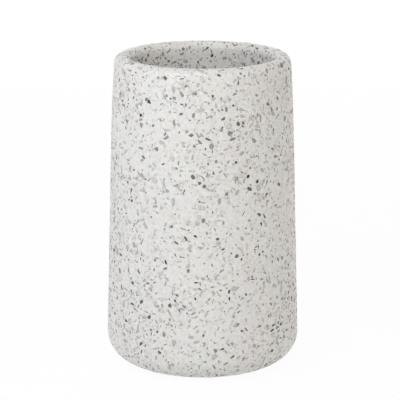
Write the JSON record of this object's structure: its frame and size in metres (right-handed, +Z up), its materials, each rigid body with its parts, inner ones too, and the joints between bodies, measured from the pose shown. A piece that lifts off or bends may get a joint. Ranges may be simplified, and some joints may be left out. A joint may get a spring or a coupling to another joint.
{
  "type": "bathroom tumbler",
  "caption": "Round tapered bathroom tumbler cast in speckled terrazzo, with a thick full round lip, an open well, a rounded foot and a soft foam pad under it.",
  "frame": {"origin": "middle of the foam pad's underside, on the surface that the tumbler stands on", "axes": "+Z up along the axis of the cup, out of its mouth; X and Y are level and any turn about Z is alike"},
  "size_m": [0.0714, 0.0714, 0.115],
  "materials": {
    "terrazzo": "satin",
    "foam": "matte",
    "adhesive": "satin"
  },
  "bodies": {
    "root": {"tumbler_body": "terrazzo", "foot_pad": "foam", "pad_adhesive": "adhesive"}
  },
  "joints": []
}
